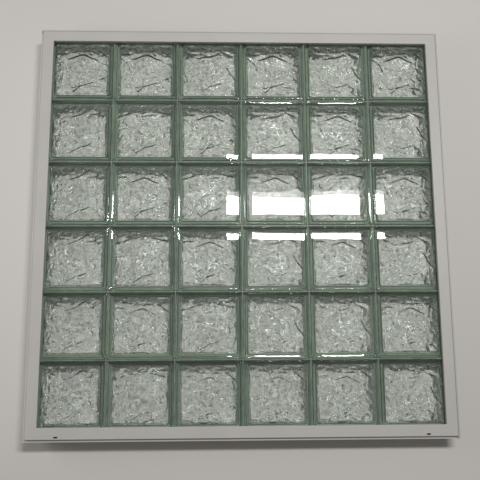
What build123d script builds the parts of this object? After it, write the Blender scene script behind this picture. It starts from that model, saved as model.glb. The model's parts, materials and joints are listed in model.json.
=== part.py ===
"""Glass block window: a white PVC frame round a panel of hollow glass blocks.

The window lies on its back with its weather face up. Units are millimetres.
X runs along the sill, +Y from the sill to the head, +Z out of the weather face.
The origin is the middle of the underside.
"""
from build123d import *
import os

# Glass blocks
COLUMNS = 6
ROWS = 6
BLOCK_WIDTH = 190.0
BLOCK_DEPTH = 80.0
BLOCK_CORNER_RADIUS = 7.0
BLOCK_SHOULDER_RADIUS = 4.0
BLOCK_LAND = 22.0
KEYWAY_DEPTH = 3.0
FACE_GLASS = 8.0
SIDE_GLASS = 8.5
CAVITY_CORNER_RADIUS = 9.0
CAVITY_EDGE_RADIUS = 4.0

# Clear strips in the joints and clear sealant round the panel
JOINT_GAP = 4.0
PERIMETER_GAP = 2.5
STRIP_RECESS = 6.0

# Frame rails, an extruded hollow section
RAIL_WIDTH = 20.0
RAIL_WALL = 2.5
RAIL_CHAMBERS = 3
LIP_REACH = 12.0
LIP_DEPTH = 10.0
FACE_EDGE_RADIUS = 1.5
FLANGE_REACH = 8.0
FLANGE_SETBACK = 12.0
FLANGE_THICKNESS = 2.0

# Glazing beads behind the blocks
BEAD_REACH = 10.0
BEAD_DEPTH = 10.0
BEAD_WALL = 1.5
BEAD_CHAMFER = 3.0

# Weep slots through the face of the sill
WEEP_LENGTH = 12.0
WEEP_WIDTH = 4.5
WEEP_FROM_EDGE = 6.2
WEEP_FROM_END = 85.0
WEEP_OVERCUT = 1.0

# Worked out from the sizes above
PITCH = BLOCK_WIDTH + JOINT_GAP
PANEL_WIDTH = COLUMNS * PITCH - JOINT_GAP
PANEL_HEIGHT = ROWS * PITCH - JOINT_GAP
POCKET_X = PANEL_WIDTH / 2 + PERIMETER_GAP
POCKET_Y = PANEL_HEIGHT / 2 + PERIMETER_GAP
FRAME_DEPTH = BEAD_DEPTH + BLOCK_DEPTH + LIP_DEPTH
BLOCK_BACK = BEAD_DEPTH


def block_body():
    """One block without its cavity, standing on its back face at Z = 0."""
    body = extrude(RectangleRounded(BLOCK_WIDTH, BLOCK_WIDTH, BLOCK_CORNER_RADIUS), BLOCK_DEPTH)
    rims = body.faces().sort_by(Axis.Z)[0].edges() + body.faces().sort_by(Axis.Z)[-1].edges()
    body = fillet(rims, BLOCK_SHOULDER_RADIUS)
    waist = BLOCK_WIDTH - 2 * KEYWAY_DEPTH
    outside = BLOCK_WIDTH + 2 * KEYWAY_DEPTH
    keyway = Rectangle(outside, outside) - RectangleRounded(waist, waist, BLOCK_CORNER_RADIUS)
    return body - Pos(0, 0, BLOCK_LAND) * extrude(keyway, BLOCK_DEPTH - 2 * BLOCK_LAND)


def block_cavity():
    """The sealed air space inside a block."""
    width = BLOCK_WIDTH - 2 * (KEYWAY_DEPTH + SIDE_GLASS)
    cavity = extrude(RectangleRounded(width, width, CAVITY_CORNER_RADIUS), BLOCK_DEPTH - 2 * FACE_GLASS)
    rims = cavity.faces().sort_by(Axis.Z)[0].edges() + cavity.faces().sort_by(Axis.Z)[-1].edges()
    return Pos(0, 0, FACE_GLASS) * fillet(rims, CAVITY_EDGE_RADIUS)


def block_places():
    """The node name and place of each block, row 1 at the head and column 1 at the left."""
    for row in range(ROWS):
        for column in range(COLUMNS):
            x = (column - (COLUMNS - 1) / 2) * PITCH
            y = ((ROWS - 1) / 2 - row) * PITCH
            yield f"block_r{row + 1}_c{column + 1}", Pos(x, y, BLOCK_BACK)


def joint_layers():
    """The levels of a joint strip: low, high and how far it swells into the blocks' keyways."""
    low, high = BLOCK_BACK + STRIP_RECESS, BLOCK_BACK + BLOCK_DEPTH - STRIP_RECESS
    keyway_low, keyway_high = BLOCK_BACK + BLOCK_LAND, BLOCK_BACK + BLOCK_DEPTH - BLOCK_LAND
    return (low, keyway_low, 0), (keyway_low, keyway_high, KEYWAY_DEPTH), (keyway_high, high, 0)


def slab(width, height, low, high):
    """A box centred on the Z axis between two levels."""
    return Pos(0, 0, low) * Box(
        width, height, high - low, align=(Align.CENTER, Align.CENTER, Align.MIN)
    )


def upright_strips():
    """A full-height strip in each joint between two columns of blocks."""
    layers = [slab(JOINT_GAP + 2 * swell, PANEL_HEIGHT, low, high) for low, high, swell in joint_layers()]
    strip = layers[0] + layers[1:]
    return [Pos((joint - COLUMNS / 2) * PITCH, 0) * strip for joint in range(1, COLUMNS)]


def cross_strips():
    """A short strip under each block, cut to fit between the upright strips."""
    layers = [
        slab(BLOCK_WIDTH - 2 * swell, JOINT_GAP + 2 * swell, low, high)
        for low, high, swell in joint_layers()
    ]
    strip = layers[0] + layers[1:]
    return [
        Pos((column - (COLUMNS - 1) / 2) * PITCH, (joint - ROWS / 2) * PITCH) * strip
        for column in range(COLUMNS)
        for joint in range(1, ROWS)
    ]


def perimeter_seal():
    """The ring of sealant between the block panel and the frame's pocket."""
    low, high = BLOCK_BACK + STRIP_RECESS, BLOCK_BACK + BLOCK_DEPTH - STRIP_RECESS
    return slab(2 * POCKET_X, 2 * POCKET_Y, low, high) - slab(PANEL_WIDTH, PANEL_HEIGHT, low, high)


def strip(u_low, u_high, v_low, v_high):
    """A rectangle of a rail's section, u outward from the pocket's side and v up from the floor."""
    return Pos((u_low + u_high) / 2, (v_low + v_high) / 2) * Rectangle(u_high - u_low, v_high - v_low)


def rail_section():
    """A rail's section: body, front lip over the blocks, outer flange and closed chambers."""
    top = FRAME_DEPTH
    body = strip(0, RAIL_WIDTH, 0, top) + strip(-LIP_REACH, RAIL_WIDTH, top - LIP_DEPTH, top)
    face_corners = body.vertices().group_by(Axis.Y)[-1]
    body = fillet(face_corners, FACE_EDGE_RADIUS)
    flange_top = top - FLANGE_SETBACK
    body += strip(RAIL_WIDTH, RAIL_WIDTH + FLANGE_REACH, flange_top - FLANGE_THICKNESS, flange_top)
    section = body - strip(
        -LIP_REACH + RAIL_WALL, RAIL_WIDTH - RAIL_WALL, top - LIP_DEPTH + RAIL_WALL, top - RAIL_WALL
    )
    low = RAIL_WALL
    step = (top - LIP_DEPTH - low + RAIL_WALL) / RAIL_CHAMBERS
    for chamber in range(RAIL_CHAMBERS):
        floor = low + chamber * step
        section -= strip(RAIL_WALL, RAIL_WIDTH - RAIL_WALL, floor, floor + step - RAIL_WALL)
    return section


def bead_section():
    """A glazing bead's hollow section, in the same u and v as a rail's."""
    outline = strip(-BEAD_REACH, 0, 0, BEAD_DEPTH)
    open_corner = outline.vertices().sort_by(Axis.X)[:2].sort_by(Axis.Y)[0]
    outline = chamfer(open_corner, BEAD_CHAMFER)
    return outline - offset(outline, amount=-BEAD_WALL, kind=Kind.INTERSECTION)


def mitred(section, half_run, half_across, u_low, u_high):
    """A section run along X at Y = half_across and cut at 45 degrees at both ends."""
    reach = half_run + u_high
    profile = Plane(origin=(-reach, half_across, 0), x_dir=(0, 1, 0), z_dir=(1, 0, 0)) * section
    run = extrude(profile, 2 * reach)
    wedge = Polygon(
        (-half_run - u_low, half_across + u_low),
        (half_run + u_low, half_across + u_low),
        (half_run + u_high, half_across + u_high),
        (-half_run - u_high, half_across + u_high),
        align=None,
    )
    return run & extrude(wedge, FRAME_DEPTH)


def four_sides(prefix, section, u_low, u_high):
    """The four mitred lengths that a section is cut into, by node name."""
    across = mitred(section, POCKET_X, POCKET_Y, u_low, u_high)
    upright = mitred(section, POCKET_Y, POCKET_X, u_low, u_high)
    return {
        f"{prefix}_head": across,
        f"{prefix}_jamb_left": Rot(0, 0, 90) * upright,
        f"{prefix}_sill": Rot(0, 0, 180) * across,
        f"{prefix}_jamb_right": Rot(0, 0, -90) * upright,
    }


def with_weep_slots(sill):
    """The sill with its two drain slots cut through the face into the front chamber."""
    x = POCKET_X + RAIL_WIDTH - WEEP_FROM_END
    y = -(POCKET_Y + RAIL_WIDTH - WEEP_FROM_EDGE)
    depth = RAIL_WALL + WEEP_OVERCUT
    slot = extrude(SlotOverall(WEEP_LENGTH, WEEP_WIDTH), depth)
    for side in (-1, 1):
        sill -= Pos(side * x, y, FRAME_DEPTH - RAIL_WALL) * slot
    return sill


def build():
    """Every piece of the window, by node name."""
    block = block_body() - block_cavity()
    pieces = {name: place * block for name, place in block_places()}
    pieces["upright_joint_strips"] = Compound(upright_strips())
    pieces["cross_joint_strips"] = Compound(cross_strips())
    pieces["perimeter_seal"] = perimeter_seal()
    pieces.update(four_sides("frame", rail_section(), -LIP_REACH, RAIL_WIDTH + FLANGE_REACH))
    pieces["frame_sill"] = with_weep_slots(pieces["frame_sill"])
    pieces.update(four_sides("bead", bead_section(), -BEAD_REACH, 0))
    return pieces


os.makedirs("parts", exist_ok=True)
for name, piece in build().items():
    export_step(piece, f"parts/{name}.step")
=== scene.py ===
"""Looks of a glass block window: pressed glass blocks, clear joints, white vinyl and a plain stage."""
import json
import math

import bpy
import numpy as np
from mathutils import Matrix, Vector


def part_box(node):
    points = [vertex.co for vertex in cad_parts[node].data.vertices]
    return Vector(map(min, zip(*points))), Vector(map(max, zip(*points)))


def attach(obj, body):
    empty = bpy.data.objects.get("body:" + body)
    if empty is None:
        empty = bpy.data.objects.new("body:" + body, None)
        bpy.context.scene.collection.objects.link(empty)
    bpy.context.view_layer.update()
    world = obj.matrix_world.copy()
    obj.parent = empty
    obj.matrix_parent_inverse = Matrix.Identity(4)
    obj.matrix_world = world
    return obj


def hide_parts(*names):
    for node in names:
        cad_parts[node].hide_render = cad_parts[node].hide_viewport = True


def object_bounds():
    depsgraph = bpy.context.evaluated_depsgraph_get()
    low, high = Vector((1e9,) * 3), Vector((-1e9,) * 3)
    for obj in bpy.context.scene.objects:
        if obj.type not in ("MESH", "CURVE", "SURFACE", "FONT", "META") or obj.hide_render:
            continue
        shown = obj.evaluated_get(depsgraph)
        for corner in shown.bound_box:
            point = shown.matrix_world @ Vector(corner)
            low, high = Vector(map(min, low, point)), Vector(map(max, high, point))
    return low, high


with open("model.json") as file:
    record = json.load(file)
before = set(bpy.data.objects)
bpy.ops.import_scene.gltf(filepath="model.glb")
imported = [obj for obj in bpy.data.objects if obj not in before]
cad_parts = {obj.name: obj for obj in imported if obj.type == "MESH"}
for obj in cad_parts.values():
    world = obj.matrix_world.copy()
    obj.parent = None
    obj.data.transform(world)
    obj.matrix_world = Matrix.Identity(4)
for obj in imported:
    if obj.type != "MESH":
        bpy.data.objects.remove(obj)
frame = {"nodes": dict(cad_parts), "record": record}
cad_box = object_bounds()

bl_info = {
    "name": "Glass Block Window",
    "version": (1, 0, 0),
    "blender": (4, 5, 0),
    "location": "3D View > Sidebar > Window",
    "description": "Builds the glass blocks, joints, frame finish and stage of a glass block window",
    "category": "Object",
}

MM = 0.001
BODY = "root"

# Which nodes are what, and how far apart the blocks stand
BLOCK_NODES = sorted(name for name in frame["nodes"] if name.startswith("block_"))
VINYL_NODES = sorted(name for name in frame["nodes"] if name.startswith(("frame_", "bead_")))
STRIP_NODES = ("upright_joint_strips", "cross_joint_strips")
SEAL_NODE = "perimeter_seal"
BLOCK_LOW, BLOCK_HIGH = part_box(BLOCK_NODES[0])
BLOCK_WIDTH = BLOCK_HIGH[0] - BLOCK_LOW[0]
BLOCK_DEPTH = BLOCK_HIGH[2] - BLOCK_LOW[2]
FACE_LEVEL = cad_box[1][2]

# Half widths of the frame's face: its outer edge beside the flange and its inner edge over the glass
MOUNTS = {mount["name"]: mount["pos_m"] for mount in frame["record"]["mounts"]}
FACE_OUTER = MOUNTS["jamb_right_face"][0]
FACE_INNER = -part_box("frame_sill")[1][1]


def length(name, description, default):
    """A size property in metres."""
    return bpy.props.FloatProperty(
        name=name, description=description, default=default, unit="LENGTH", precision=5
    )


def colour(name, description, default):
    """A linear colour property."""
    return bpy.props.FloatVectorProperty(
        name=name, description=description, default=default, subtype="COLOR", size=3, min=0.0, max=1.0
    )


class PressedGlass(bpy.types.PropertyGroup):
    """Sizes and finish of one pressed glass block."""

    bevel_start: length("Bevel start", "How far from the middle of a face it begins to fall", 67.0 * MM)
    bevel_bend: length("Bevel bend", "How softly the face bends there", 4.5 * MM)
    bevel_slope: bpy.props.FloatProperty(
        name="Bevel slope", description="Slope of the fall towards each side", default=0.06, min=0.0, max=0.5
    )
    border: length("Border", "Width of the raised rim round each face, from the block's side", 8.0 * MM)
    rim_drop: length("Rim drop", "How far the raised rim lies below the middle of the face", 0.5 * MM)
    shoulder: length("Shoulder", "Radius of the rounded edge of each face", 4.0 * MM)
    corner: length("Corner", "Radius of the block's corners seen from the front", 7.0 * MM)
    side_gap: length("Side gap", "Bare gap between the glass and what lies beside it", 0.15 * MM)
    face_wall: length("Face wall", "Thickness of the glass in the faces", 8.0 * MM)
    side_wall: length("Side wall", "Thickness of the glass in the sides at the keyway", 8.5 * MM)
    keyway: length("Keyway", "Depth of the keyway round the sides", 3.0 * MM)
    land: length("Land", "Height of the plain rim beside each face", 22.0 * MM)
    cavity_corner: length("Cavity corner", "Corner radius of the air space", 9.0 * MM)
    cavity_edge: length("Cavity edge", "Edge radius of the air space", 4.0 * MM)
    relief: bpy.props.FloatProperty(
        name="Relief", description="Strength of the pressed pattern", default=1.0, min=0.0, max=3.0
    )
    waviness: length("Waviness", "Height of the fire-polished waves in the outer faces", 0.03 * MM)
    pattern_cells: bpy.props.IntProperty(
        name="Pattern cells", description="Grid cells across a patterned face", default=62, min=8, max=90
    )
    face_cells: bpy.props.IntProperty(
        name="Face cells",
        description="Grid cells across a face inside its raised rim",
        default=22,
        min=4,
        max=60,
    )
    side_coat: colour("Side coat", "Colour of the coat on the block's sides", (0.29, 0.333, 0.275))
    absorption: colour("Absorption", "Colour kept by the glass's own green tint", (0.40, 0.70, 0.46))
    density: bpy.props.FloatProperty(
        name="Density", description="Absorption of the glass for each metre", default=10.0, min=0.0
    )


class VinylFinish(bpy.types.PropertyGroup):
    """Finish of the white extruded vinyl."""

    white: colour("White", "Colour of clean vinyl", (0.54, 0.523, 0.488))
    grime: colour("Grime", "Colour of the dust in the corners", (0.30, 0.28, 0.24))
    # Painted shade: a dark line in the crevice where the face steps down to the flange, at the head and
    # right side only
    seam: colour("Seam", "Colour of the dirt line between the face and the flange", (0.30, 0.285, 0.26))
    # Painted shade inside the rails' hollow chambers, seen through the weep slots, where little light
    # reaches
    chamber_shade: colour("Chamber", "Colour deep inside the rails' chambers", (0.02, 0.02, 0.018))
    roughness: bpy.props.FloatProperty(
        name="Roughness", description="Roughness of the satin surface", default=0.38, min=0.0, max=1.0
    )


class JointFinish(bpy.types.PropertyGroup):
    """Finish of the clear strips and sealant between the blocks."""

    strip: colour("Strip", "Colour of the clear strips between glass", (0.20, 0.24, 0.19))
    sealant: colour("Sealant", "Colour of the clear sealant", (0.12, 0.13, 0.11))


class StageSettings(bpy.types.PropertyGroup):
    """Floor, lamp, soft surroundings and camera."""

    floor: colour("Floor", "Colour of the plain floor", (0.70, 0.67, 0.635))
    floor_size: length("Floor size", "Width of the floor", 14.0)
    lamp_length: length("Lamp length", "Length of the lamp overhead, along X", 1.10)
    lamp_width: length("Lamp width", "Width of the lamp overhead", 0.302)
    lamp_height: length("Lamp height", "Height of the lamp over the window's face", 3.2)
    lamp_x: length("Lamp X", "Place of the lamp along the sill", 0.564)
    lamp_y: length("Lamp Y", "Place of the lamp towards the head", 0.718)
    lamp_power: bpy.props.FloatProperty(
        name="Lamp power", description="Power of the lamp", default=65.0, min=0.0, unit="POWER"
    )
    glow_y: length("Glow Y", "Place of the lit ceiling beside the lamp", 0.889)
    glow_width: length("Glow width", "Width of the lit ceiling beside the lamp", 0.04)
    glow_power: bpy.props.FloatProperty(
        name="Glow power", description="Power of the lit ceiling", default=1.0, min=0.0, unit="POWER"
    )
    fill_place: bpy.props.FloatVectorProperty(
        name="Fill place",
        description="Where the soft side lamp stands",
        default=(-1.7, 0.1, 1.1),
        unit="LENGTH",
    )
    fill_turn: bpy.props.FloatVectorProperty(
        name="Fill turn",
        description="How the side lamp is turned from facing straight down",
        default=(0.0, math.radians(-60.0), 0.0),
        unit="ROTATION",
    )
    fill_size: length("Fill size", "Width of the soft side lamp", 1.0)
    fill_power: bpy.props.FloatProperty(
        name="Fill power", description="Power of the soft side lamp", default=6.8, min=0.0, unit="POWER"
    )
    sky: bpy.props.FloatProperty(
        name="Sky", description="Strength of the soft light from all round", default=0.13, min=0.0
    )
    backdrop: bpy.props.FloatProperty(
        name="Backdrop",
        description="Brightness of the surroundings as seen and mirrored",
        default=0.70,
        min=0.0,
    )
    lens: bpy.props.FloatProperty(
        name="Lens", description="Focal length of the camera in millimetres", default=49.84, min=1.0
    )
    camera_place: bpy.props.FloatVectorProperty(
        name="Camera place",
        description="Where the camera stands",
        default=(-0.0677, -0.3779, 2.0044),
        unit="LENGTH",
    )
    camera_turn: bpy.props.FloatVectorProperty(
        name="Camera turn",
        description="How the camera is turned from looking straight down",
        default=(math.radians(9.896), math.radians(-1.767), math.radians(-0.336)),
        unit="ROTATION",
    )


# Mesh making


# Knots along each side of a random field before it repeats
LATTICE_SIZE = 64

# The mould's pattern, in millimetres. Sorts of crumples: how wide and high one is seen from the
# front, where their random field starts across and up, and its seed
SWELLS = (36, 36, 0, 0, 21)
WRINKLES = (16, 16, 5, 0, 22)
RIPPLES = (8, 8, 0, 2, 23)
UPRIGHT_STRANDS = (7, 20, 1, 0, 24)
LEVEL_STRANDS = (20, 7, 0, 4, 25)
# How far each sort rises, and how far the whole pattern is lowered to lie about the face's level
SWELL_HEIGHT = 3.0
WRINKLE_HEIGHT = 2.0
RIPPLE_HEIGHT = 1.5
STRAND_HEIGHT = 3.4
PATTERN_SINK = 2.2

# How far the crumples bend sideways, over what distance, and the start and seed of each bend
BEND_REACH = 6
BEND_SPAN = 24
BEND_START_X, BEND_START_Y = 3.1, 8.7
BEND_SEED_X, BEND_SEED_Y = 11, 12

# Where each change starts and how wide it is, as shares of the way from the middle to the side
LIVELY_ZONE = (0.3, 0.5)
STRAND_ZONE = (0.5, 0.25)
HEAD_ZONE = (0.7, 0.28)
# Width of the fade at the very side, as such a share
PATTERN_FADE = 0.04
# Strength of wrinkles and ripples in the middle, and what is added to it towards the sides
CALM_SHARE = 0.45
LIVELY_SHARE = 0.65

# Folds beside each of the mould's four edges, seen with that edge on top: corner points from left to
# right, and the drop
EDGE_FOLDS = (
    (
        (((-35, 32), (1, 45), (34, 32)), 4.4), (((36, 30), (60, 18)), 2.2), (((61, 49), (78, 37)), 3.0),
        (((-71, 45), (-42, 50)), 2.8), (((-80, 34), (-60, 21), (-44, -13)), 2.6),
    ),
    (
        (((-9, 41), (20, 46)), 3.0), (((30, 57), (66, 49)), 3.2), (((46, 11), (55, -8)), 3.0),
        (((-76, 43), (-27, 53)), 3.0),
    ),
    (
        (((-27, 36), (-6, 42), (16, 45)), 3.0), (((38, 54), (58, 47)), 3.0), (((-47, 0), (-37, 25)), 2.2),
        (((47, 13), (60, -12), (78, -37)), 4.2),
    ),
    (
        (((-18, 40), (6, 50), (25, 62)), 4.2), (((40, 48), (57, 49), (72, 59)), 2.6),
        (((-66, 18), (-59, 0), (-49, -19)), 2.8), (((64, 43), (71, 32)), 2.2),
    ),
)
# The fold at the foot of every block, and how much thicker its glass gets beside its head edge
FOOT_FOLD = (((-19, -68), (4, -56), (30, -46)), 4.6)
HEAD_SINK = 2.0
# How much of its drop a fold keeps beside the other three edges, and of the bends all folds follow
FAR_SHARE = 0.3
WOBBLE_SHARE = 0.35
# Width of a fold's steep side, length of its slopes and of the fade past its ends
FOLD_STEEP = 5.0
FOLD_SLOPE = 11.0
FOLD_END = 7

# How late towards the rim a grid's corners begin to round, and the least radius there
CORNER_ONSET = 6
LEAST_RADIUS = 1e-9

# Fire-polished waves in the outer faces: their spans in metres, how much higher the long ones
# are, where the long ones' field starts, and both seeds
LONG_WAVE, SHORT_WAVE = 0.045, 0.022
LONG_WAVE_SHARE = 2
WAVE_START = 4.4
WAVE_SEEDS = (31, 32)

# Steps round the shoulders and the air space's edges, places of the grid lines across the raised
# rim, and how far a face's other lines close up towards it
SHOULDER_STEPS = 4
CAVITY_STEPS = 3
BORDER_STEPS = (0.35, 0.7, 1.0)
LINE_SWING = math.radians(72)

# Slant of the keyway's edges
KEYWAY_SLANT = 1.0 * MM
# How far the side walls bow out where the two halves are fused, outside and inside, and how far
# in front of the middle the outer bow lies
OUTER_BULGE = 0.6 * MM
SEAM_BULGE = 0.8 * MM
BULGE_LIFT = 2.0 * MM
# Grid cells along each side of the cloudy ring, and its half height, which is also about how far
# it stays inside the glass
SEAM_CELLS = 24
SEAM_MARGIN = 0.4 * MM


def ease(x):
    """Smooth step from 0 to 1."""
    x = np.clip(x, 0.0, 1.0)
    return x * x * x * (x * (6 * x - 15) + 10)


def lattice_noise(x, y, seed):
    """A smooth random field from -1 to 1 with knots one unit apart."""
    size = LATTICE_SIZE
    knots = np.random.default_rng(seed).uniform(-1, 1, (size, size))
    left, low = np.floor(x).astype(int), np.floor(y).astype(int)
    across, up = ease(x - left), ease(y - low)
    i0, i1, j0, j1 = left % size, (left + 1) % size, low % size, (low + 1) % size
    below = knots[j0, i0] * (1 - across) + knots[j0, i1] * across
    above = knots[j1, i0] * (1 - across) + knots[j1, i1] * across
    return below * (1 - up) + above * up


def rise(value, start, width):
    """Goes from 0 to 1 over a width."""
    return ease((value - start) / width)


def crumples(x, y, width, run, start_x, start_y, seed):
    """Swells of a random field with creases between them, from 0 to 1."""
    return np.abs(lattice_noise(x / width + start_x, y / run + start_y, seed))


def fold(x, y, points, drop):
    """A fold along a bent line: a long slope up to it on its right and a steep drop on its left."""
    nearest = np.full(x.shape, np.inf)
    beside = np.zeros(x.shape)
    beyond = np.zeros(x.shape)
    for (ax, ay), (bx, by) in zip(points, points[1:]):
        run_x, run_y = bx - ax, by - ay
        run = math.hypot(run_x, run_y)
        along = ((x - ax) * run_x + (y - ay) * run_y) / run**2
        across = (run_x * (y - ay) - run_y * (x - ax)) / run
        over = (np.abs(along - 0.5) - 0.5).clip(0) * run
        distance = np.hypot(across, over)
        closer = distance < nearest
        nearest = np.where(closer, distance, nearest)
        beside = np.where(closer, across, beside)
        beyond = np.where(closer, over, beyond)
    up = np.exp(np.minimum(beside, 0) / FOLD_SLOPE)
    down = np.exp(-np.maximum(beside - FOLD_STEEP, 0) / FOLD_SLOPE)
    profile = up * down - ease(beside / FOLD_STEEP) * (1 + up * down) * down
    return drop / 2 * profile * np.exp(-((beyond / FOLD_END) ** 2))


def mould_relief(x, y, half, head_edge):
    """Height of the pressed pattern at points x and y from the middle, all in millimetres.

    half is the pattern's half width, and head_edge the number of the mould's edge that will lie
    nearest the head. The folds beside it are the deepest. With None there is no such edge.
    """
    bend_x = x + BEND_REACH * lattice_noise(x / BEND_SPAN + BEND_START_X, y / BEND_SPAN, BEND_SEED_X)
    bend_y = y + BEND_REACH * lattice_noise(x / BEND_SPAN, y / BEND_SPAN + BEND_START_Y, BEND_SEED_Y)
    swells = crumples(bend_x, bend_y, *SWELLS) * SWELL_HEIGHT
    wrinkles = crumples(bend_x, bend_y, *WRINKLES) * WRINKLE_HEIGHT
    ripples = crumples(bend_x, bend_y, *RIPPLES) * RIPPLE_HEIGHT
    reach = np.maximum(np.abs(x), np.abs(y)) / half
    lively = CALM_SHARE + LIVELY_SHARE * rise(reach, *LIVELY_ZONE)
    upright = ease((np.abs(x) - np.abs(y)) / half + 0.5)
    strands = crumples(bend_x, bend_y, *UPRIGHT_STRANDS) * upright
    strands = strands + crumples(bend_x, bend_y, *LEVEL_STRANDS) * (1 - upright)
    height = swells + (wrinkles + ripples) * lively + STRAND_HEIGHT * strands * rise(reach, *STRAND_ZONE)
    height = height - PATTERN_SINK
    wobble_x = x + WOBBLE_SHARE * (bend_x - x)
    wobble_y = y + WOBBLE_SHARE * (bend_y - y)
    for quarter, edge_folds in enumerate(EDGE_FOLDS):
        turn = quarter * math.pi / 2
        side_x = wobble_x * math.cos(turn) + wobble_y * math.sin(turn)
        side_y = wobble_y * math.cos(turn) - wobble_x * math.sin(turn)
        share = 1.0 if quarter == head_edge else FAR_SHARE
        for points, drop in edge_folds:
            height = height + fold(side_x, side_y, points, drop * share)
        if quarter == head_edge:
            height = height + fold(side_x, side_y, *FOOT_FOLD)
            height = height - HEAD_SINK * rise(side_y / half, *HEAD_ZONE)
    return height * ease((1 - reach) / PATTERN_FADE)


def rounded_square(u, v, half, corner):
    """Points of a square from -1 to 1 moved to a square of that half width with round corners."""
    reach = np.maximum(np.abs(u), np.abs(v))
    edge = half * reach
    radius = np.maximum(corner * reach**CORNER_ONSET, LEAST_RADIUS)
    upright = np.abs(u) >= np.abs(v)
    side = np.where(upright, v, u) * half
    turn = np.clip((np.abs(side) - (edge - radius)) / radius, 0, 1) * math.pi / 4
    bent = np.abs(side) > edge - radius
    out = np.where(bent, edge - radius + radius * np.cos(turn), edge)
    along = np.where(bent, (edge - radius + radius * np.sin(turn)) * np.sign(side), side)
    x = np.where(upright, out * np.sign(u), along)
    y = np.where(upright, along, out * np.sign(v))
    return x, y


def rim_loop(cells):
    """Grid numbers of the outermost ring of a square grid, anticlockwise from above."""
    row = cells + 1
    steps = np.arange(cells)
    return np.concatenate(
        [steps, steps * row + cells, cells * row + cells - steps, (cells - steps) * row]
    )


def closed_shell(lines, rim, front, back, rings, inside_out=False):
    """Points, quads and each quad's band of a block-shaped shell.

    lines are both faces' grid lines from -1 to 1, rim is the half width and corner radius of
    those grids, front and back give their height, and rings are the half width, corner radius
    and drop from either face between them: a drop over zero is measured from the front face's
    rim and one under zero from the back's.
    """
    cells = len(lines) - 1
    u, v = (a.ravel() for a in np.meshgrid(lines, lines))
    x, y = rounded_square(u, v, *rim)
    front_points = np.stack([x, y, front(x, y)], 1)
    back_points = np.stack([x, y, back(x, y)], 1)
    loop = rim_loop(cells)
    parts = [front_points, back_points]
    loops = [loop]
    count = len(x)
    start = 2 * count
    for half, corner, drop in rings:
        ring_x, ring_y = rounded_square(u[loop], v[loop], half, corner)
        from_rim = front_points[loop, 2] if drop > 0 else back_points[loop, 2]
        parts.append(np.stack([ring_x, ring_y, from_rim - drop], 1))
        loops.append(start + np.arange(len(loop)))
        start += len(loop)
    loops.append(loop + count)
    row = cells + 1
    column, line = (a.ravel() for a in np.meshgrid(np.arange(cells), np.arange(cells)))
    low = line * row + column
    faces = [np.stack([low, low + 1, low + row + 1, low + row], 1)]
    faces.append(faces[0][:, ::-1] + count)
    for upper, lower in zip(loops, loops[1:]):
        next_upper, next_lower = np.roll(upper, -1), np.roll(lower, -1)
        faces.append(np.stack([upper, lower, next_lower, next_upper], 1))
    quads = np.concatenate(faces)
    bands = np.repeat(np.arange(len(faces)), [len(f) for f in faces])
    return np.concatenate(parts), quads[:, ::-1] if inside_out else quads, bands


def fillet_rings(half, corner, radius, steps):
    """Rings round a quarter circle, from a face's rim out to the side."""
    rings = []
    for step in range(1, steps + 1):
        angle = math.pi / 2 * step / steps
        out = radius * math.sin(angle)
        rings.append((half + out, corner + out, radius * (1 - math.cos(angle))))
    return rings


def face_lines(glass, pane):
    """Grid lines of an outer face from -1 to 1: closer together towards the rim, then across it."""
    swing = np.linspace(-LINE_SWING, LINE_SWING, glass.face_cells + 1)
    rolled = pane * np.sin(swing) / math.sin(LINE_SWING)
    border = pane + (1 - pane) * np.array(BORDER_STEPS)
    return np.concatenate([-border[::-1], rolled, border])


def block_outside(glass):
    """The outer skin of a block: faces with a raised rim, round shoulders and the keyway in the sides."""
    half = BLOCK_WIDTH / 2 - glass.side_gap
    rim = (half - glass.shoulder, glass.corner - glass.shoulder)
    pane = half - glass.border

    def fall(x, y):
        waves = lattice_noise(x / LONG_WAVE + WAVE_START, y / LONG_WAVE, WAVE_SEEDS[0]) * LONG_WAVE_SHARE
        waves = waves + lattice_noise(x / SHORT_WAVE, y / SHORT_WAVE, WAVE_SEEDS[1])
        past = [(np.abs(side) - glass.bevel_start) / glass.bevel_bend for side in (x, y)]
        bevel = np.logaddexp(0, past[0]) + np.logaddexp(0, past[1])
        rolled = glass.bevel_slope * glass.bevel_bend * bevel
        raised = np.clip((np.maximum(np.abs(x), np.abs(y)) - pane) / (rim[0] - pane), 0, 1)
        return rolled * (1 - raised) + glass.rim_drop * raised - glass.waviness * waves

    shoulder = fillet_rings(rim[0], rim[1], glass.shoulder, SHOULDER_STEPS)
    waist = half - glass.keyway
    wall = [
        (half, glass.corner, glass.land - KEYWAY_SLANT),
        (waist, glass.corner - KEYWAY_SLANT, glass.land + KEYWAY_SLANT),
    ]
    front_side = shoulder + wall
    back_side = [(a, b, -drop) for a, b, drop in reversed(front_side)]
    seam = [(waist + OUTER_BULGE, glass.corner, BLOCK_DEPTH / 2 - BULGE_LIFT)]
    return closed_shell(
        face_lines(glass, pane / rim[0]),
        rim,
        lambda x, y: BLOCK_DEPTH - fall(x, y),
        lambda x, y: fall(-x, y),
        front_side + seam + back_side,
    )


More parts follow.
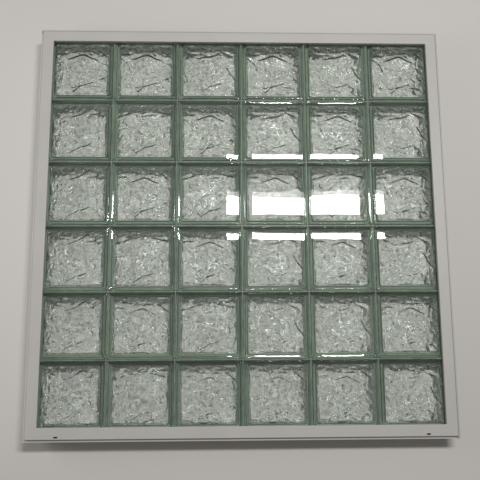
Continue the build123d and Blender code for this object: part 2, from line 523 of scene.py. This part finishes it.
def block_inside(glass, front_turn, back_turn):
    """The skin of the air space, with the mould's pattern on both faces."""
    half = BLOCK_WIDTH / 2 - glass.keyway - glass.side_wall
    flat = half - glass.cavity_edge
    rim = (flat, glass.cavity_corner - glass.cavity_edge)
    turn = back_turn * math.pi / 2

    def relief(x, y, head_edge):
        return glass.relief * MM * mould_relief(x / MM, y / MM, flat / MM, head_edge)

    def back_relief(x, y):
        turned_x = x * math.cos(turn) - y * math.sin(turn)
        turned_y = x * math.sin(turn) + y * math.cos(turn)
        return relief(-turned_x, turned_y, None)

    bend = fillet_rings(flat, rim[1], glass.cavity_edge, CAVITY_STEPS)
    back_bend = [(a, b, -drop) for a, b, drop in reversed(bend)]
    middle = [(half + SEAM_BULGE, glass.cavity_corner, BLOCK_DEPTH / 2 - glass.face_wall)]
    return closed_shell(
        np.linspace(-1, 1, glass.pattern_cells + 1),
        rim,
        lambda x, y: BLOCK_DEPTH - glass.face_wall + relief(x, y, -front_turn % len(EDGE_FOLDS)),
        lambda x, y: glass.face_wall - back_relief(x, y),
        bend + middle + back_bend,
        inside_out=True,
    )


def fused_seam(glass):
    """The cloudy ring inside the side walls, where the block's two halves are fused."""
    lines = np.linspace(-1, 1, SEAM_CELLS + 1)
    u, v = (a.ravel() for a in np.meshgrid(lines, lines))
    loop = rim_loop(SEAM_CELLS)
    outer = BLOCK_WIDTH / 2 - glass.side_gap - glass.keyway - SEAM_MARGIN
    inner = outer + 2 * SEAM_MARGIN - glass.side_wall + SEAM_BULGE
    parts = []
    for half, corner, up in (
        (outer, glass.corner, SEAM_MARGIN), (outer, glass.corner, -SEAM_MARGIN),
        (inner, glass.cavity_corner, -SEAM_MARGIN), (inner, glass.cavity_corner, SEAM_MARGIN),
    ):
        x, y = rounded_square(u[loop], v[loop], half, corner)
        parts.append(np.stack([x, y, np.full(len(loop), BLOCK_DEPTH / 2 + up)], 1))
    rows = np.arange(len(parts) * len(loop)).reshape(len(parts), len(loop))
    quads = [
        np.stack([upper, lower, np.roll(lower, -1), np.roll(upper, -1)], 1)
        for upper, lower in zip(rows, np.roll(rows, -1, axis=0))
    ]
    return np.concatenate(parts), np.concatenate(quads)


def block_mesh(glass, front_turn, back_turn):
    """A hollow block as one closed mesh with a closed air space, seen from its own middle."""
    skin, skin_faces, bands = block_outside(glass)
    space, space_faces, _ = block_inside(glass, front_turn, back_turn)
    seam, seam_faces = fused_seam(glass)
    points = np.concatenate([skin, space, seam])
    quads = np.concatenate([skin_faces, space_faces + len(skin), seam_faces + len(skin) + len(space)])
    mesh = bpy.data.meshes.new(f"glass_block_turns_{front_turn}_{back_turn}")
    mesh.from_pydata(points.tolist(), [], quads.tolist())
    mesh.shade_smooth()
    sharpen_valleys(mesh, glass)
    # Bands 0 and 1 are the two faces, and the others go down the sides from the front shoulder
    first, last = 2 + SHOULDER_STEPS, bands.max() - SHOULDER_STEPS
    coated = np.zeros(len(quads), np.int32)
    coated[: len(bands)] = (bands >= first) & (bands <= last)
    coated[-len(seam_faces):] = 1
    mesh.polygons.foreach_set("material_index", coated)
    grid = (glass.pattern_cells + 1) ** 2
    face = (glass.face_cells + 2 * len(BORDER_STEPS) + 1) ** 2
    mark_points(mesh, "pressed", len(skin), len(skin) + 2 * grid)
    mark_points(mesh, "rear", face, 2 * face)
    mesh.update()
    return mesh


def sharpen_valleys(mesh, glass):
    """Keeps the valley inside each face's raised rim sharp."""
    inset = len(BORDER_STEPS)
    cells = glass.face_cells + 2 * inset
    place = np.arange((cells + 1) ** 2)
    column, line = place % (cells + 1), place // (cells + 1)
    from_rim = np.minimum(np.minimum(column, cells - column), np.minimum(line, cells - line))
    valley = np.zeros(len(mesh.vertices), bool)
    valley[: 2 * len(place)] = np.tile(from_rim == inset, 2)
    ends = np.zeros(2 * len(mesh.edges), np.int32)
    mesh.edges.foreach_get("vertices", ends)
    mesh.edges.foreach_set("use_edge_sharp", valley[ends].reshape(-1, 2).all(1))


def mark_points(mesh, name, start, end):
    """Adds a point attribute that is 1 on a run of points and 0 elsewhere."""
    marks = np.zeros(len(mesh.vertices), np.float32)
    marks[start:end] = 1.0
    mesh.attributes.new(name, "FLOAT", "POINT").data.foreach_set("value", marks)


# Materials


def new_material(name):
    """An empty node material with its Principled shader and output."""
    material = bpy.data.materials.new(name)
    material.use_nodes = True
    nodes = material.node_tree.nodes
    shader = nodes["Principled BSDF"]
    return material, nodes, material.node_tree.links, shader, nodes["Material Output"]


def add(nodes, kind, **values):
    """A node with its settings and unlinked inputs filled in by name."""
    node = nodes.new(kind)
    for key, value in values.items():
        if hasattr(node, key):
            setattr(node, key, value)
        else:
            node.inputs[key.replace("_", " ")].default_value = value
    return node


def group_sockets(group, inputs, outputs):
    """Declares a node group's named sockets and returns its input and output nodes."""
    for name, kind, default in inputs:
        socket = group.interface.new_socket(name, in_out="INPUT", socket_type=kind)
        socket.default_value = default
    for name, kind in outputs:
        group.interface.new_socket(name, in_out="OUTPUT", socket_type=kind)
    return group.nodes.new("NodeGroupInput"), group.nodes.new("NodeGroupOutput")


def noise(nodes, links, place, **values):
    """A noise field over the object."""
    node = add(nodes, "ShaderNodeTexNoise", **values)
    links.new(place.outputs["Object"], node.inputs["Vector"])
    return node.outputs["Fac"]


def ranged(nodes, links, value, given, wanted=(0.0, 1.0), shape="SMOOTHSTEP"):
    """A value moved from one range to another and held inside it."""
    node = add(nodes, "ShaderNodeMapRange", interpolation_type=shape)
    for socket, limit in zip(("From Min", "From Max", "To Min", "To Max"), (*given, *wanted)):
        node.inputs[socket].default_value = limit
    links.new(value, node.inputs["Value"])
    return node.outputs["Result"]


def combine(nodes, links, operation, first, second=None):
    """A math node fed by one or two sockets."""
    node = add(nodes, "ShaderNodeMath", operation=operation)
    links.new(first, node.inputs[0])
    if second is not None:
        links.new(second, node.inputs[1])
    return node.outputs["Value"]


def folded(nodes, links, value):
    """A field folded at its middle value, which gives wandering lines there."""
    node = add(nodes, "ShaderNodeMath", operation="PINGPONG")
    node.inputs[1].default_value = 0.5
    links.new(value, node.inputs[0])
    return node.outputs["Value"]


def within(nodes, links, value, low, high, soft):
    """1 where a value lies between two limits, fading to 0 over a soft distance outside them."""
    rising = ranged(nodes, links, value, (low - soft, low), shape="LINEAR")
    falling = ranged(nodes, links, value, (high + soft, high), shape="LINEAR")
    return combine(nodes, links, "MULTIPLY", rising, falling)


def toned(nodes, links, factor, tone, base):
    """A colour that goes from base to tone as the factor rises. Each is a colour or a socket."""
    mix = add(nodes, "ShaderNodeMix", data_type="RGBA")
    links.new(factor, mix.inputs[0])
    for socket, given in ((mix.inputs[6], base), (mix.inputs[7], tone)):
        if isinstance(given, bpy.types.NodeSocket):
            links.new(given, socket)
        else:
            socket.default_value = (*given, 1.0)
    return mix.outputs[2]


def bumped(nodes, links, shader, height, strength, distance):
    """Roughens a shader's surface by a height."""
    bump = add(nodes, "ShaderNodeBump", Strength=strength, Distance=distance)
    links.new(height, bump.inputs["Height"])
    links.new(bump.outputs["Normal"], shader.inputs["Normal"])


# From where to where the random fields of the dust and the clouds go from none to full
DUST_PATCHES = (0.42, 0.72)
DUST_SPECKS = (0.35, 0.75)
CLOUDS = (0.3, 0.7)


def cloudy_dust_group():
    """Soft patches of dust with finer specks, as a mask from 0 to 1."""
    group = bpy.data.node_groups.new("Cloudy dust", "ShaderNodeTree")
    given, out = group_sockets(
        group,
        [("Patch scale", "NodeSocketFloat", 6.0), ("Amount", "NodeSocketFloat", 0.3)],
        [("Mask", "NodeSocketFloat")],
    )
    nodes, links = group.nodes, group.links
    place = nodes.new("ShaderNodeTexCoord")
    patches = noise(nodes, links, place, Detail=5.0, Roughness=0.62)
    links.new(given.outputs["Patch scale"], patches.node.inputs["Scale"])
    specks = noise(nodes, links, place, Scale=420.0, Detail=2.0)
    soft = ranged(nodes, links, patches, DUST_PATCHES, shape="LINEAR")
    fine = ranged(nodes, links, specks, DUST_SPECKS, shape="LINEAR")
    both = combine(nodes, links, "MULTIPLY", soft, fine)
    mask = combine(nodes, links, "MULTIPLY", both, given.outputs["Amount"])
    mask.node.use_clamp = True
    links.new(mask, out.inputs["Mask"])
    return group


def cloudy_tone_group():
    """Soft clouds between a dark and a light tone, with the clouds themselves as a height."""
    group = bpy.data.node_groups.new("Cloudy tone", "ShaderNodeTree")
    given, out = group_sockets(
        group,
        [
            ("Cloud scale", "NodeSocketFloat", 30.0),
            ("Dark", "NodeSocketColor", (0.1, 0.1, 0.1, 1.0)),
            ("Light", "NodeSocketColor", (0.2, 0.2, 0.2, 1.0)),
        ],
        [("Tone", "NodeSocketColor"), ("Height", "NodeSocketFloat")],
    )
    nodes, links = group.nodes, group.links
    place = nodes.new("ShaderNodeTexCoord")
    clouds = noise(nodes, links, place, Detail=3.0)
    links.new(given.outputs["Cloud scale"], clouds.node.inputs["Scale"])
    share = ranged(nodes, links, clouds, CLOUDS, shape="LINEAR")
    tone = toned(nodes, links, share, given.outputs["Light"], given.outputs["Dark"])
    links.new(tone, out.inputs["Tone"])
    links.new(clouds, out.inputs["Height"])
    return group


def place_group(nodes, build, name, **values):
    """A node group in a material, built the first time that it is used, with its own values."""
    node = nodes.new("ShaderNodeGroup")
    node.node_tree = bpy.data.node_groups.get(name) or build()
    for key, value in values.items():
        node.inputs[key.replace("_", " ")].default_value = value
    return node


def shade(tone, share):
    """A colour made darker or lighter."""
    return (*(min(1.0, share * c) for c in tone), 1.0)


# The painted shade line where the vinyl's face steps down to the flange, from the face's outer edge, and the
# painted shade inside the chambers: across the rail from the face's inner and outer edges, and down from its
# level, each with the width of its soft edge
SEAM_SHADE_LINE = (-1.5 * MM, 4.0 * MM, 1.0 * MM)
CHAMBER_ACROSS = (3.5 * MM, -3.0 * MM, 0.5 * MM)
CHAMBER_DOWN = (-9.5 * MM, -0.6 * MM, 0.3 * MM)
# How far the mottling takes the vinyl's roughness below and above its own value
SMOOTHER, ROUGHER = 0.08, 0.14


def vinyl_material(finish):
    """Satin white extruded vinyl: mottling, dust, a painted shade line beside the flange at the head and
    right side, and painted shade in the chambers.
    """
    material, nodes, links, shader, _ = new_material("white_vinyl")
    shader.inputs["IOR"].default_value = 1.5
    place = nodes.new("ShaderNodeTexCoord")
    axes = nodes.new("ShaderNodeSeparateXYZ")
    links.new(place.outputs["Object"], axes.inputs["Vector"])
    across, up, level = (axes.outputs[axis] for axis in "XYZ")
    # Painted shade: a dark line where the face steps down to the flange, along the head and right side only
    # (the larger of x and y)
    edge = combine(nodes, links, "MAXIMUM", across, up)
    low, high, soft = SEAM_SHADE_LINE
    seam_shade = within(nodes, links, edge, FACE_OUTER + low, FACE_OUTER + high, soft)
    # Painted shade inside the hollow chambers under the face, where little light reaches
    widths = [combine(nodes, links, "ABSOLUTE", axis) for axis in (across, up)]
    reach = combine(nodes, links, "MAXIMUM", *widths)
    low, high, soft = CHAMBER_ACROSS
    between = within(nodes, links, reach, FACE_INNER + low, FACE_OUTER + high, soft)
    low, high, soft = CHAMBER_DOWN
    under = within(nodes, links, level, FACE_LEVEL + low, FACE_LEVEL + high, soft)
    inside = combine(nodes, links, "MULTIPLY", between, under)
    specks = place_group(nodes, cloudy_dust_group, "Cloudy dust", Patch_scale=7.0, Amount=0.30)
    dusty = toned(nodes, links, specks.outputs["Mask"], finish.grime, finish.white)
    lined = toned(nodes, links, seam_shade, finish.seam, dusty)
    links.new(toned(nodes, links, inside, finish.chamber_shade, lined), shader.inputs["Base Color"])
    mottling = noise(nodes, links, place, Scale=55.0, Detail=4.0, Roughness=0.6)
    limits = (finish.roughness - SMOOTHER, finish.roughness + ROUGHER)
    gloss = ranged(nodes, links, mottling, (0.0, 1.0), limits, shape="LINEAR")
    links.new(gloss, shader.inputs["Roughness"])
    bumped(nodes, links, shader, mottling, strength=0.12, distance=0.0006)
    return material


# Colours of the painted shade in the pattern's creases, which stands in for light that the steep facets bend
# away, and of the glass between them, and the share of light that each surface lets through
CREASE_SHADE = (0.24, 0.25, 0.24)
CLEAR = (1.0, 1.0, 1.0)
LIGHT_PASSED = 0.972
# From where to where the pattern's random fields change, and the bump or the shading that they give
PATCH_CHANGE, PATCH_BUMP = (0.40, 0.60), (0.30, 1.45)
CREASE_CHANGE = (0.43, 0.495)
BREAK_CHANGE = (0.48, 0.62)
CLOUD_CHANGE, CLOUD_SHADE = (0.42, 0.66), (0.0, 0.40)
# Scale and strength of the two sorts of bright lines, how much of that the patches between them
# lose, and from where to where a line goes from none to full
FOCUS_SORTS = ((110.0, 0.6), (210.0, 0.7))
FOCUS_LOSS = 0.6
FOCUS_CHANGE = (0.38, 0.50)


def glass_material(glass):
    """Green-tinted pressed glass that bends what is behind it and lets lamps through."""
    material, nodes, links, shader, output = new_material("pressed_glass")
    shader.inputs["Roughness"].default_value = 0.0
    shader.inputs["IOR"].default_value = 1.52
    shader.inputs["Transmission Weight"].default_value = 1.0
    place = nodes.new("ShaderNodeTexCoord")
    pressed = add(nodes, "ShaderNodeAttribute", attribute_name="pressed").outputs["Fac"]
    crumple = noise(nodes, links, place, noise_type="RIDGED_MULTIFRACTAL", Scale=75.0, Detail=2.5)
    calm = noise(nodes, links, place, Scale=24.0, Detail=1.0)
    lively = ranged(nodes, links, calm, PATCH_CHANGE, PATCH_BUMP)
    varied = combine(nodes, links, "MULTIPLY", crumple, lively)
    height = combine(nodes, links, "MULTIPLY", varied, pressed)
    bumped(nodes, links, shader, height, strength=1.0, distance=0.0019)
    # Painted shade in the pressed faces' creases and cloudy patches, standing in for light that steep facets
    # bend away
    dimmed = combine(nodes, links, "MULTIPLY", painted_crease_shade(nodes, links, place), pressed)
    links.new(toned(nodes, links, dimmed, CREASE_SHADE, CLEAR), shader.inputs["Base Color"])
    clear = nodes.new("ShaderNodeBsdfTransparent")
    gathered = add(nodes, "ShaderNodeMix", data_type="FLOAT")
    gathered.inputs[2].default_value = 1.0
    rear = add(nodes, "ShaderNodeAttribute", attribute_name="rear").outputs["Fac"]
    links.new(rear, gathered.inputs[0])
    links.new(focus_lines(nodes, links, place), gathered.inputs[3])
    passed = combine(nodes, links, "MULTIPLY", gathered.outputs[0])
    passed.node.inputs[1].default_value = LIGHT_PASSED
    links.new(passed, clear.inputs["Color"])
    rays = nodes.new("ShaderNodeLightPath").outputs
    mix = nodes.new("ShaderNodeMixShader")
    unbent = combine(nodes, links, "MAXIMUM", rays["Is Shadow Ray"], rays["Is Diffuse Ray"])
    links.new(unbent, mix.inputs["Fac"])
    links.new(shader.outputs["BSDF"], mix.inputs[1])
    links.new(clear.outputs["BSDF"], mix.inputs[2])
    links.new(mix.outputs["Shader"], output.inputs["Surface"])
    tint = nodes.new("ShaderNodeVolumeAbsorption")
    tint.inputs["Color"].default_value = (*glass.absorption, 1.0)
    tint.inputs["Density"].default_value = glass.density
    links.new(tint.outputs["Volume"], output.inputs["Volume"])
    return material


def painted_crease_shade(nodes, links, place):
    """Painted shade along short creases of the pressed pattern, over faint cloudy painted shade, from 0 to
    1.
    """
    wander = noise(nodes, links, place, Scale=58.0, Detail=3.0, Roughness=0.6, Distortion=1.2)
    line = ranged(nodes, links, folded(nodes, links, wander), CREASE_CHANGE)
    patches = noise(nodes, links, place, Scale=95.0, Detail=1.0)
    broken = ranged(nodes, links, patches, BREAK_CHANGE)
    short = combine(nodes, links, "MULTIPLY", line, broken)
    clouds = noise(nodes, links, place, Scale=120.0, Detail=2.5, Roughness=0.6, Distortion=0.8)
    faint = ranged(nodes, links, clouds, CLOUD_CHANGE, CLOUD_SHADE)
    return combine(nodes, links, "MAXIMUM", short, faint)


def focus_lines(nodes, links, place):
    """How strongly the pattern gathers light behind a spot: bright wandering lines between dim patches."""
    lines = []
    for scale, strength in FOCUS_SORTS:
        wander = noise(nodes, links, place, Scale=scale, Detail=1.5, Roughness=0.5, Distortion=0.6)
        limits = (1.0 - strength * FOCUS_LOSS, 1.0 + strength)
        lines.append(ranged(nodes, links, folded(nodes, links, wander), FOCUS_CHANGE, limits))
    return combine(nodes, links, "MULTIPLY", *lines)


def coat_material(tone):
    """The pale coat on the sides of a block, which shows green through the depth of its glass."""
    material, nodes, links, shader, _ = new_material("side_coat")
    shader.inputs["Roughness"].default_value = 0.6
    tones = {"Dark": shade(tone, 0.85), "Light": shade(tone, 1.1)}
    cloudy = place_group(nodes, cloudy_tone_group, "Cloudy tone", Cloud_scale=60.0, **tones)
    links.new(cloudy.outputs["Tone"], shader.inputs["Base Color"])
    return material


def joint_material(name, tone, roughness):
    """Clear flexible vinyl or sealant, which looks dark and green between the glass."""
    material, nodes, links, shader, _ = new_material(name)
    shader.inputs["Specular IOR Level"].default_value = 0.15
    shader.inputs["Roughness"].default_value = roughness
    tones = {"Dark": shade(tone, 0.75), "Light": shade(tone, 1.3)}
    cloudy = place_group(nodes, cloudy_tone_group, "Cloudy tone", Cloud_scale=30.0, **tones)
    links.new(cloudy.outputs["Tone"], shader.inputs["Base Color"])
    bumped(nodes, links, shader, cloudy.outputs["Height"], strength=0.3, distance=0.0005)
    return material


def paint_node(name, material):
    """Gives a carried-over node one material all over."""
    mesh = frame["nodes"][name].data
    mesh.materials.clear()
    mesh.materials.append(material)


# Operators


# Quarter turns of each block as laid, row 1 at the head and column 1 at the left
FRONT_TURNS = ("002020", "130202", "103030", "130202", "103220", "130002")
# How many quarter turns the back faces' are drawn from at random, and the seed
BACK_TURN_SORTS = 3
BACK_TURN_SEED = 5


class WINDOW_OT_press_blocks(bpy.types.Operator):
    """Make the hollow pressed glass blocks"""

    bl_idname = "window.press_blocks"
    bl_label = "Press Blocks"

    def execute(self, context):
        glass = context.scene.window_glass
        material = glass_material(glass)
        coat = coat_material(glass.side_coat)
        meshes = {}
        front_turns = [int(turn) for row in FRONT_TURNS for turn in row]
        draws = np.random.default_rng(BACK_TURN_SEED)
        back_turns = draws.integers(0, BACK_TURN_SORTS, len(BLOCK_NODES)).tolist()
        for node, front_turn, back_turn in zip(BLOCK_NODES, front_turns, back_turns):
            if (front_turn, back_turn) not in meshes:
                mesh = block_mesh(glass, front_turn, back_turn)
                mesh.materials.append(material)
                mesh.materials.append(coat)
                meshes[front_turn, back_turn] = mesh
            low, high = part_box(node)
            block = bpy.data.objects.new(f"glass_{node}", meshes[front_turn, back_turn])
            context.scene.collection.objects.link(block)
            block.location = ((low[0] + high[0]) / 2, (low[1] + high[1]) / 2, low[2])
            block.rotation_euler = (0.0, 0.0, front_turn * math.pi / 2)
            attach(block, BODY)
            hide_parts(node)
        return {"FINISHED"}


class WINDOW_OT_finish_frame(bpy.types.Operator):
    """Give the rails and glazing beads their satin white vinyl"""

    bl_idname = "window.finish_frame"
    bl_label = "Finish Frame"

    def execute(self, context):
        vinyl = vinyl_material(context.scene.window_vinyl)
        for node in VINYL_NODES:
            paint_node(node, vinyl)
        return {"FINISHED"}


class WINDOW_OT_fill_joints(bpy.types.Operator):
    """Give the joint strips and the perimeter seal their clear finish"""

    bl_idname = "window.fill_joints"
    bl_label = "Fill Joints"

    def execute(self, context):
        joints = context.scene.window_joints
        strip = joint_material("clear_strip", joints.strip, roughness=0.35)
        for node in STRIP_NODES:
            paint_node(node, strip)
        sealant = joint_material("clear_sealant", joints.sealant, roughness=0.5)
        paint_node(SEAL_NODE, sealant)
        return {"FINISHED"}


class WINDOW_OT_set_stage(bpy.types.Operator):
    """Set the floor, lamp, surroundings and camera"""

    bl_idname = "window.set_stage"
    bl_label = "Set Stage"

    def execute(self, context):
        stage = context.scene.window_stage
        self.floor(context, stage)
        self.lamps(context, stage)
        self.surroundings(context, stage)
        self.camera(context, stage)
        return {"FINISHED"}

    def floor(self, context, stage):
        """A plain pale floor under the window."""
        mesh = bpy.data.meshes.new("floor")
        half = stage.floor_size / 2
        corners = [(-half, -half, 0), (half, -half, 0), (half, half, 0), (-half, half, 0)]
        mesh.from_pydata(corners, [], [(0, 1, 2, 3)])
        material, _, _, shader, _ = new_material("plain_floor")
        shader.inputs["Base Color"].default_value = (*stage.floor, 1.0)
        shader.inputs["Roughness"].default_value = 0.7
        shader.inputs["Specular IOR Level"].default_value = 0.2
        mesh.materials.append(material)
        floor = bpy.data.objects.new("floor", mesh)
        context.scene.collection.objects.link(floor)

    def lamps(self, context, stage):
        """One long lamp overhead and its glow, which the glass mirrors, and a soft one low at the left."""
        level = FACE_LEVEL + stage.lamp_height
        down = (0.0, 0.0, 0.0)
        tube = (stage.lamp_x, stage.lamp_y, level)
        glow = (stage.lamp_x, stage.glow_y, level)
        size, side = stage.lamp_length, stage.fill_size
        for name, place, turn, size, width, power in (
            ("overhead_lamp", tube, down, size, stage.lamp_width, stage.lamp_power),
            ("lamp_glow", glow, down, size, stage.glow_width, stage.glow_power),
            ("side_lamp", stage.fill_place, stage.fill_turn, side, side, stage.fill_power),
        ):
            data = bpy.data.lights.new(name, "AREA")
            data.shape = "RECTANGLE"
            data.size = size
            data.size_y = width
            data.energy = power
            lamp = bpy.data.objects.new(name, data)
            lamp.location = place
            lamp.rotation_euler = turn
            context.scene.collection.objects.link(lamp)

    def surroundings(self, context, stage):
        """Even light from all round, which the camera sees as a pale background."""
        world = bpy.data.worlds.new("soft_room")
        context.scene.world = world
        world.use_nodes = True
        nodes, links = world.node_tree.nodes, world.node_tree.links
        room = nodes["Background"]
        room.inputs["Color"].default_value = (1.0, 0.985, 0.96, 1.0)
        room.inputs["Strength"].default_value = stage.sky
        backdrop = add(nodes, "ShaderNodeBackground", Strength=stage.backdrop)
        rays = nodes.new("ShaderNodeLightPath").outputs
        seen = combine(nodes, links, "MAXIMUM", rays["Is Camera Ray"], rays["Is Glossy Ray"])
        seen = combine(nodes, links, "MAXIMUM", seen, rays["Is Transmission Ray"])
        mix = nodes.new("ShaderNodeMixShader")
        links.new(seen, mix.inputs["Fac"])
        links.new(room.outputs["Background"], mix.inputs[1])
        links.new(backdrop.outputs["Background"], mix.inputs[2])
        links.new(mix.outputs["Shader"], nodes["World Output"].inputs["Surface"])

    def camera(self, context, stage):
        """The camera looks down on the window from the sill's side."""
        data = bpy.data.cameras.new("camera")
        data.lens = stage.lens
        data.sensor_width = 36.0
        camera = bpy.data.objects.new("camera", data)
        camera.location = stage.camera_place
        camera.rotation_euler = stage.camera_turn
        context.scene.collection.objects.link(camera)
        context.scene.camera = camera
        context.scene.view_settings.view_transform = "Standard"


class WINDOW_PT_panel(bpy.types.Panel):
    """Steps that build the window"""

    bl_idname = "WINDOW_PT_panel"
    bl_label = "Glass Block Window"
    bl_space_type = "VIEW_3D"
    bl_region_type = "UI"
    bl_category = "Window"

    def draw(self, context):
        for step in STEPS:
            self.layout.operator(step.bl_idname)
        for settings in SETTINGS:
            box = self.layout.box()
            values = getattr(context.scene, settings)
            for name in values.bl_rna.properties.keys():
                if name not in ("rna_type", "name"):
                    box.prop(values, name)


STEPS = (WINDOW_OT_set_stage, WINDOW_OT_finish_frame, WINDOW_OT_fill_joints, WINDOW_OT_press_blocks)
SETTINGS = {
    "window_glass": PressedGlass,
    "window_vinyl": VinylFinish,
    "window_joints": JointFinish,
    "window_stage": StageSettings,
}


def register():
    """Registers the settings, steps and panel."""
    for name, settings in SETTINGS.items():
        bpy.utils.register_class(settings)
        setattr(bpy.types.Scene, name, bpy.props.PointerProperty(type=settings))
    for step in (*STEPS, WINDOW_PT_panel):
        bpy.utils.register_class(step)


def unregister():
    """Removes what register added."""
    for step in (WINDOW_PT_panel, *reversed(STEPS)):
        bpy.utils.unregister_class(step)
    for name, settings in SETTINGS.items():
        delattr(bpy.types.Scene, name)
        bpy.utils.unregister_class(settings)


def main():
    """Builds the window."""
    register()
    for step in STEPS:
        area, name = step.bl_idname.split(".")
        getattr(getattr(bpy.ops, area), name)()
    bpy.context.view_layer.update()


if __name__ == "__main__":
    main()
